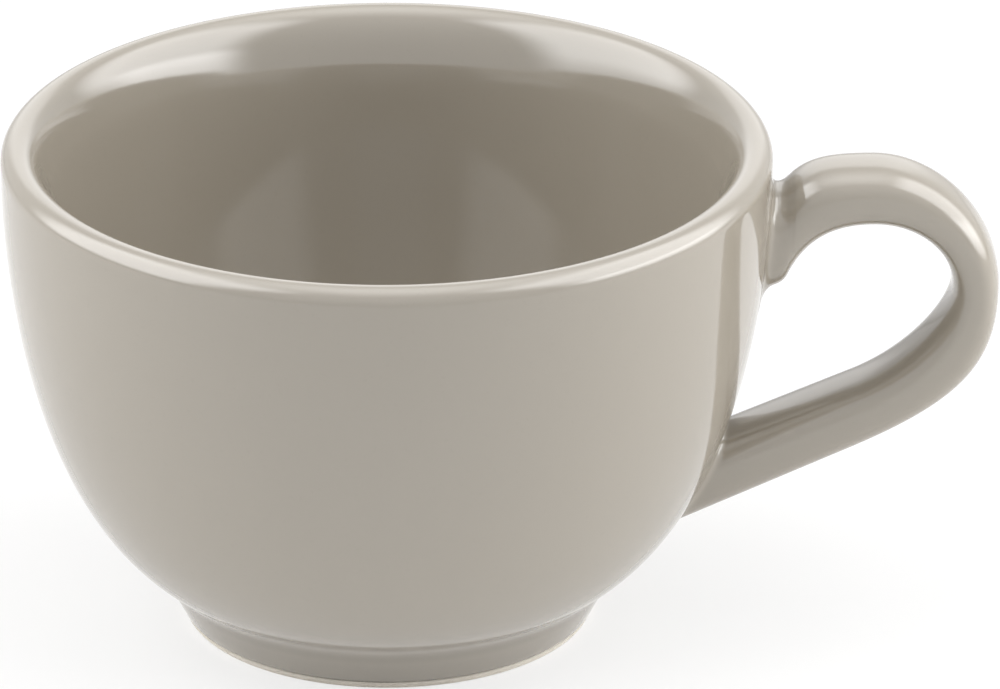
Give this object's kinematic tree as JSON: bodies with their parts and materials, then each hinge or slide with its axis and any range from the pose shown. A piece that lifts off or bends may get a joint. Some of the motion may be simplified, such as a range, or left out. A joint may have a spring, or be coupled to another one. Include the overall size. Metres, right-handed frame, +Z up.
{
  "type": "cappuccino cup",
  "caption": "Round-bellied glazed stoneware cup with a rounded lip, a flared foot ring and a looped strap handle, for milky coffee.",
  "frame": {"origin": "centre of the foot ring's standing face, on the table", "axes": "+Z up along the cup's axis, +X from the axis towards the handle, +Y across the handle"},
  "size_m": [0.1244, 0.096, 0.0632],
  "materials": {
    "clay": "matte",
    "slip": "matte",
    "glaze": "gloss"
  },
  "bodies": {
    "root": {"bowl": "clay", "foot_ring": "clay", "handle": "clay", "upper_slip": "slip", "lower_slip": "slip", "outer_glaze": "glaze", "inner_glaze": "glaze", "handle_glaze": "glaze", "foot_glaze": "glaze", "base_glaze": "glaze"}
  },
  "joints": []
}
